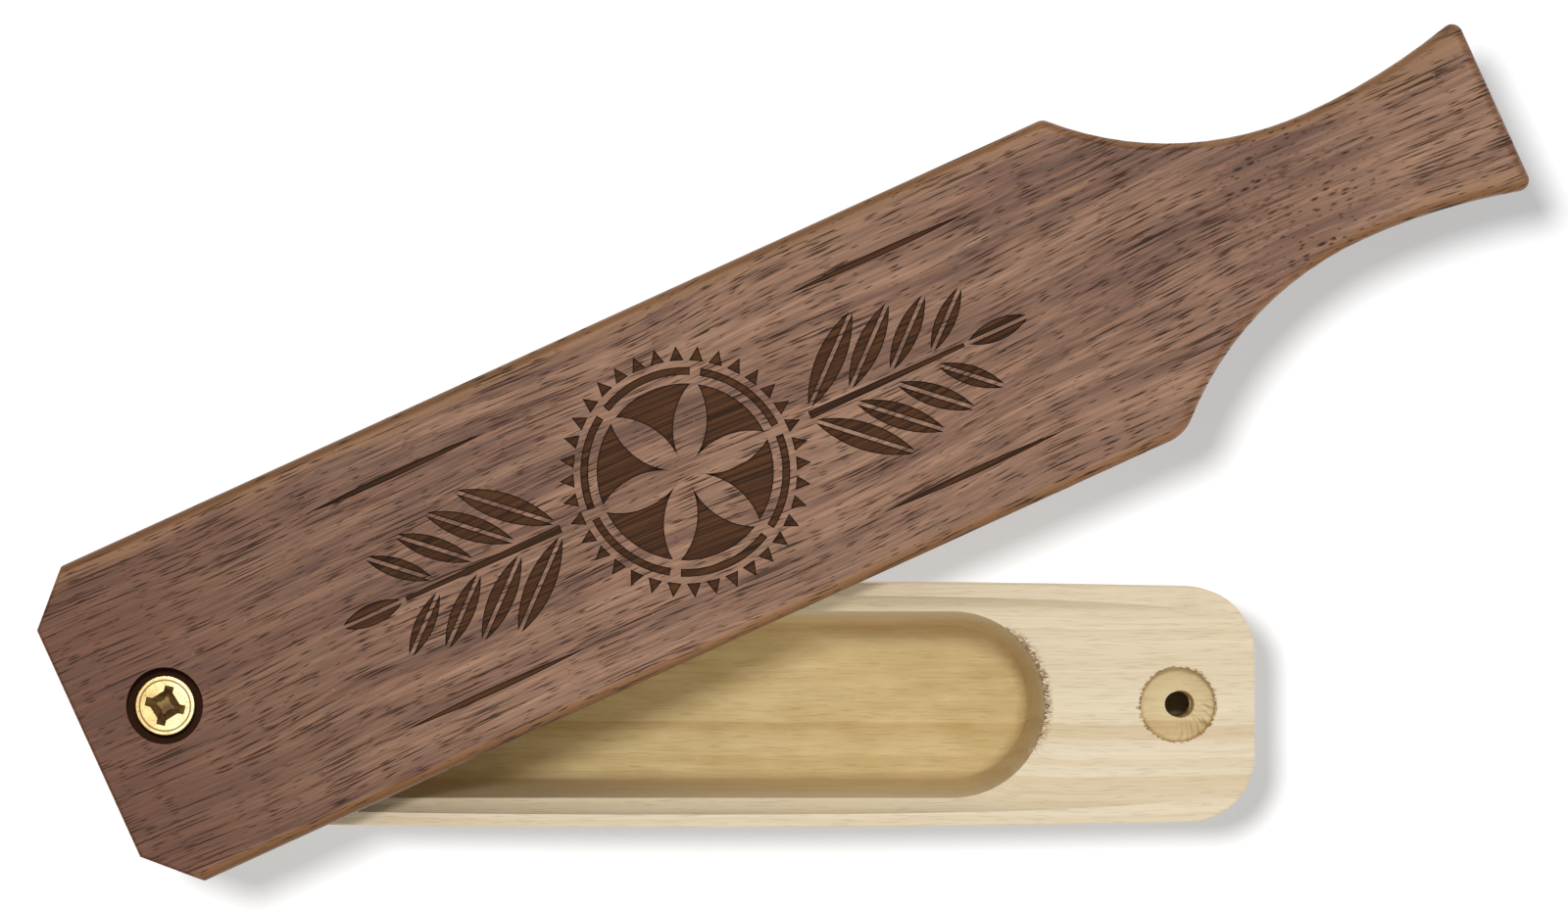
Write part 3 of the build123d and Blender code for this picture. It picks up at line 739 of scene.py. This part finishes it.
def plated_brass():
    """Bright brass plating on a steel screw: pale yellow with a painted highlight, fading to gold on one side,
    with pits and stains, and dull brown in the recess and the fine groove."""
    material, add = new_material("plated_brass")
    spot = add("TexCoord")
    place = add("Mapping", {
        "Vector": spot["Object"], "Location": (PIVOT.x, PIVOT.y, HEAD_TOP), "Scale": (MM, MM, MM),
    }, vector_type="TEXTURE")[0]
    axes = add("SeparateXYZ", {0: place})
    stains_per_mm, pits_per_mm = 0.45, 2.6
    stain = add("TexNoise", {"Vector": place, "Scale": stains_per_mm, "Detail": 4.0})[0]
    pits = add("TexNoise", {"Vector": place, "Scale": pits_per_mm, "Detail": 2.0})[0]
    pits = add("MapRange", {0: pits, 1: 0.60, 2: 0.70})[0]
    # Painted highlight: pale on the right, fading to gold on the left, for how the light falls on the head
    fade = {0: axes["X"], 1: 3.5, 2: -4.5, 3: -0.25, 4: 0.65}
    fade = add("MapRange", fade, interpolation_type="SMOOTHSTEP")[0]
    fade = add("Math", {0: fade, 1: stain}, operation="ADD", use_clamp=True)[0]
    metal = add("Mix", {0: fade, 6: (*linear("d5c498"), 1), 7: (*linear("b39b68"), 1)}, data_type="RGBA")[2]
    worn = add("Math", {0: pits, 1: 0.5}, operation="MULTIPLY")[0]
    metal = add("Mix", {0: worn, 6: metal, 7: (*linear("7f6a44"), 1)}, data_type="RGBA")[2]
    # The recess, in from the head's flat face
    recess_reach, recess_floor, groove_reach = 3.5, -2.65, 4.45
    flat = add("CombineXYZ", {"X": axes["X"], "Y": axes["Y"]})[0]
    flat = add("VectorMath", {0: flat}, operation="LENGTH")["Value"]
    recess_dark = add("MapRange", {0: flat, 1: recess_reach + 0.2, 2: recess_reach})[0]
    depth = add("MapRange", {0: axes["Z"], 1: -0.02, 2: -0.25})[0]
    bottom = add("MapRange", {0: axes["Z"], 1: recess_floor - 0.05, 2: recess_floor})[0]
    for mask in (depth, bottom):
        recess_dark = add("Math", {0: recess_dark, 1: mask}, operation="MULTIPLY")[0]
    # The fine groove round the head
    groove = add("MapRange", {0: axes["Z"], 1: -0.03, 2: -0.10, 4: 0.7})[0]
    rim = add("MapRange", {0: flat, 1: groove_reach + 0.05, 2: groove_reach})[0]
    shallow = add("MapRange", {0: axes["Z"], 1: -0.2, 2: -0.15})[0]
    for mask in (rim, shallow):
        groove = add("Math", {0: groove, 1: mask}, operation="MULTIPLY")[0]
    recess_dark = add("Math", {0: recess_dark, 1: groove}, operation="MAXIMUM")[0]
    # Darkened to dull brown in the recess and the groove
    recess_tone = add("MapRange", {0: stain, 1: 0.35, 2: 0.65})[0]
    recess_tone = add("Mix", {0: recess_tone, 6: (*linear("664828"), 1), 7: (*linear("9a7c4c"), 1)}, data_type="RGBA")[2]
    metal = add("Mix", {0: recess_dark, 6: metal, 7: recess_tone}, data_type="RGBA")[2]
    rough = add("MapRange", {0: stain, 1: 0.3, 2: 0.7, 3: 0.34, 4: 0.48})[0]
    rough = add("Mix", {0: recess_dark, 2: rough, 3: 0.6})[0]
    shine = add("MapRange", {0: recess_dark, 3: 1.0, 4: 0.55})[0]
    bump = add("Bump", {"Height": pits, "Strength": 0.3, "Distance": 0.03 * MM}, invert=True)[0]
    surface = add("BsdfPrincipled", {
        "Base Color": metal, "Roughness": rough, "Metallic": shine, "Normal": bump,
    })
    add("OutputMaterial", {"Surface": surface[0]})
    return material


def drawn_steel():
    """Drawn spring wire: grey and smooth, with fine draw lines and a little dulling."""
    material, add = new_material("drawn_spring_steel")
    spot = add("TexCoord")
    place = add("Mapping", {"Vector": spot["Object"], "Scale": (MM, MM, MM)}, vector_type="TEXTURE")[0]
    stains_per_mm, lines_per_mm = 0.6, (0.4, 0.4, 7.0)
    dull = add("TexNoise", {"Vector": place, "Scale": stains_per_mm, "Detail": 3.0})[0]
    lines = add("Mapping", {"Vector": place, "Scale": lines_per_mm})[0]
    lines = add("TexNoise", {"Vector": lines, "Scale": 1.0, "Detail": 1.0})[0]
    metal = add("Mix", {0: dull, 6: (*linear("bdbdba"), 1), 7: (*linear("9a9a98"), 1)}, data_type="RGBA")[2]
    rough = add("MapRange", {0: dull, 1: 0.3, 2: 0.7, 3: 0.28, 4: 0.45})[0]
    bump = add("Bump", {"Height": lines, "Strength": 0.2, "Distance": 0.02 * MM})[0]
    surface = add("BsdfPrincipled", {
        "Base Color": metal, "Roughness": rough, "Metallic": 1.0, "Normal": bump,
    })
    add("OutputMaterial", {"Surface": surface[0]})
    return material


def rim_place(rng):
    """A random point on the torn rims: most round the chamber's free end, the rest round the spare seat."""
    chamber_share = 0.75
    if rng.random() < chamber_share:
        centre_x, radius = CHAMBER_END_X - CHAMBER_RADIUS, CHAMBER_RADIUS
        degrees = rng.triangular(-24, 60, 22)
        reach = rng.triangular(-0.35, 0.9, 0.05) * MM
    else:
        centre_x, radius = SPARE_X, SPARE_RADIUS
        # At one of four places round the seat
        degrees = rng.choice((rng.gauss(66, 12), rng.gauss(5, 16), rng.gauss(178, 14), rng.gauss(222, 12)))
        reach = rng.triangular(-0.15, 0.4, 0.05) * MM
    angle = math.radians(degrees)
    off = radius + reach
    return Vector((centre_x + math.cos(angle) * off, math.sin(angle) * off, END_TOP))


def wall_place(rng):
    """A random point on the chamber's end-grain wall, most near its rim."""
    angle = math.radians(rng.triangular(-55, 62, 14))
    depth = rng.triangular(0.2, 5.0, 0.4) * MM
    radius = CHAMBER_RADIUS - depth * math.tan(CHAMBER_DRAFT)
    centre_x = CHAMBER_END_X - CHAMBER_RADIUS
    return Vector((centre_x + math.cos(angle) * radius, math.sin(angle) * radius, END_TOP - depth))


def chip_tool(settings):
    """Small lens-shaped solids, longest along the grain, that tear chips out of the rims."""
    rng = random.Random(11)
    shape = bmesh.new()
    for step in range(settings.chips):
        spot = wall_place(rng) if step % 3 == 0 else rim_place(rng)  # one in three on the wall
        spot.z += rng.uniform(-0.25, 0.1) * MM
        size = Vector((rng.uniform(0.2, 0.8), rng.uniform(0.12, 0.36), rng.uniform(0.2, 0.6))) * MM
        turn = Matrix.Rotation(rng.gauss(0, 0.35), 4, "Z") @ Matrix.Rotation(rng.gauss(0, 0.3), 4, "Y")
        place = Matrix.Translation(spot) @ turn @ Matrix.Diagonal((*size, 1))
        bmesh.ops.create_icosphere(shape, subdivisions=2, radius=1, matrix=place)
    # The drill has worn one side of the spare hole's mouth
    mouth_depth, lift, aside, foot, mouth = (size * MM for size in (3.2, 0.1, 0.5, 1.7, 2.3))
    place = Matrix.Translation((SPARE_X + aside, 0, SEAT_FLOOR + lift - mouth_depth / 2))
    bmesh.ops.create_cone(
        shape, cap_ends=True, cap_tris=False, segments=48,
        radius1=foot, radius2=mouth, depth=mouth_depth, matrix=place,
    )
    return new_object("chip_tool", shape)


def fibres(settings):
    """Torn fibres standing off the rims, rooted in the wood."""
    sunk, standing, taper = Vector((0, 0, 0.04 * MM)), 0.35, 0.15
    rng = random.Random(5)
    shape = bmesh.new()
    for _ in range(settings.fibres):
        spot = rim_place(rng)
        size = rng.uniform(0.25, 0.8) * MM
        thick = rng.uniform(0.035, 0.075) * MM
        heading = Vector((rng.choice((-1, 1)), rng.gauss(0, 0.35), rng.uniform(0.05, 0.5))).normalized()
        place = Matrix.Translation(spot - sunk + heading * size * standing)
        place = place @ heading.to_track_quat("Z", "Y").to_matrix().to_4x4()
        bmesh.ops.create_cone(
            shape, cap_ends=True, cap_tris=False, segments=5,
            radius1=thick, radius2=thick * taper, depth=size, matrix=place,
        )
    return new_object("torn_fibres", shape)


class BIRDCALL_OT_lid(bpy.types.Operator):
    """Walnut paddle lid with its ornament burnt in"""

    bl_idname = "birdcall.lid"
    bl_label = "Walnut lid"

    def execute(self, context):
        settings = context.scene.bird_call.lid
        piece = merged_copy("walnut_lid", "paddle")
        cut(piece, ornament_tool(settings))
        shade(piece, walnut(settings))
        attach(piece, "lid")
        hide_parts("paddle")
        return {"FINISHED"}


class BIRDCALL_OT_box(bpy.types.Operator):
    """Milled box"""

    bl_idname = "birdcall.box"
    bl_label = "Milled box"

    def execute(self, context):
        settings = context.scene.bird_call.box
        wood = poplar(settings)
        piece = merged_copy("milled_box", "box")
        cut(piece, chip_tool(settings))
        shade(piece, wood)
        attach(piece, "box")
        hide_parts("box")
        splinters = fibres(settings)
        shade(splinters, wood)
        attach(splinters, "box")
        return {"FINISHED"}


class BIRDCALL_OT_pivot(bpy.types.Operator):
    """Pivot screw and lid spring"""

    bl_idname = "birdcall.pivot"
    bl_label = "Pivot screw and spring"

    def execute(self, context):
        frame["nodes"]["pivot_screw"].data.materials[0] = plated_brass()
        spring = merged_copy("coil_spring", "lid_spring")
        shade(spring, drawn_steel())
        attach(spring, "spring")
        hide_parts("lid_spring")
        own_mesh(spring)
        return {"FINISHED"}


class BIRDCALL_OT_stage(bpy.types.Operator):
    """Camera straight above, soft light from above and a little behind, and white paper"""

    bl_idname = "birdcall.stage"
    bl_label = "Stage"

    def execute(self, context):
        settings = context.scene.bird_call.stage
        scene = context.scene
        scene.view_settings.view_transform = "Standard"

        lens = bpy.data.cameras.new("camera")
        camera = bpy.data.objects.new("camera", lens)
        scene.collection.objects.link(camera)
        camera.location = (settings.camera_x, settings.camera_y, LID_TOP + settings.camera_height)
        lens.sensor_fit = "HORIZONTAL"
        lens.lens = lens.sensor_width * settings.camera_height / settings.frame_width
        lens.clip_end = 50  # well past the paper
        scene.camera = camera

        world = bpy.data.worlds.new("studio")
        scene.world = world
        world.use_nodes = True
        world.node_tree.nodes.clear()
        add = partial(node, world.node_tree)
        path = add("LightPath")
        # White to the camera; the wood and metal see the dome lamp in its place
        sky = add("Background", {"Color": (1, 1, 1, 1), "Strength": path["Is Camera Ray"]})
        add("OutputWorld", {"Surface": sky[0]})

        shape = bmesh.new()
        paper_reach, paper_gap = 8, 0.05 * MM
        under_box = Matrix.Translation((0, 0, -paper_gap))
        bmesh.ops.create_grid(shape, x_segments=1, y_segments=1, size=paper_reach, matrix=under_box)
        floor = new_object("paper", shape)
        material, add = new_material("white_paper")
        floor.data.materials.append(material)
        path = add("LightPath")
        # To the camera the paper is white but for a grey shadow; to the rest of the light it is lit paper
        bounce, grey = 0.75, 0.3
        glow = add("MapRange", {0: path["Is Camera Ray"], 3: bounce, 4: settings.paper_glow})[0]
        glow = add("Emission", {"Color": (*settings.paper, 1), "Strength": glow})[0]
        matt = add("BsdfDiffuse", {"Color": (grey, grey, grey, 1)})[0]
        lit = add("AddShader", {0: glow, 1: matt})[0]
        # Clear from below, so that the underside can be looked at
        below = add("NewGeometry")["Backfacing"]
        clear = add("BsdfTransparent")[0]
        surface = add("MixShader", {0: below, 1: lit, 2: clear})
        add("OutputMaterial", {"Surface": surface[0]})

        # The paper has a lamp of its own, so that its shadow can be set apart from the object's light
        paper_only, object_only = (bpy.data.collections.new(name) for name in ("paper_only", "object_only"))
        for group, state in ((paper_only, "INCLUDE"), (object_only, "EXCLUDE")):
            group.objects.link(floor)
            group.collection_objects[0].light_linking.link_state = state
        for name, level, size, tilt, group in (
            ("dome", settings.sky, settings.dome_size, (0, 0), object_only),
            ("lamp", settings.lamp, settings.lamp_size, settings.lamp_lean, object_only),
            ("paper_lamp", settings.paper_lamp, settings.lamp_size, settings.shadow_lean, paper_only),
        ):
            sun = bpy.data.lights.new(name, "SUN")
            sun.energy = level * math.pi  # so that 1 lights a level white face to white
            sun.angle = size
            lamp = bpy.data.objects.new(name, sun)
            scene.collection.objects.link(lamp)
            lamp.rotation_euler = (-tilt[0], -tilt[1], 0)
            lamp.light_linking.receiver_collection = group
        return {"FINISHED"}


class BIRDCALL_PT_panel(bpy.types.Panel):
    """Lists the pieces of the bird call and its stage"""

    bl_idname = "BIRDCALL_PT_panel"
    bl_label = "Bird call"
    bl_space_type = "VIEW_3D"
    bl_region_type = "UI"
    bl_category = "Bird Call"

    def draw(self, context):
        for operator in OPERATORS:
            self.layout.operator(operator.bl_idname)


OPERATORS = (BIRDCALL_OT_lid, BIRDCALL_OT_box, BIRDCALL_OT_pivot, BIRDCALL_OT_stage)
CLASSES = (LidSettings, BoxSettings, StageSettings, BirdCallSettings, *OPERATORS, BIRDCALL_PT_panel)


def register():
    """Add the settings, operators and panel."""
    for item in CLASSES:
        bpy.utils.register_class(item)
    bpy.types.Scene.bird_call = PointerProperty(type=BirdCallSettings)


def unregister():
    """Take them away again."""
    del bpy.types.Scene.bird_call
    for item in reversed(CLASSES):
        bpy.utils.unregister_class(item)


def main():
    """Make every piece and the stage."""
    register()
    bpy.ops.birdcall.lid()
    bpy.ops.birdcall.box()
    bpy.ops.birdcall.pivot()
    bpy.ops.birdcall.stage()


if __name__ == "__main__":
    main()
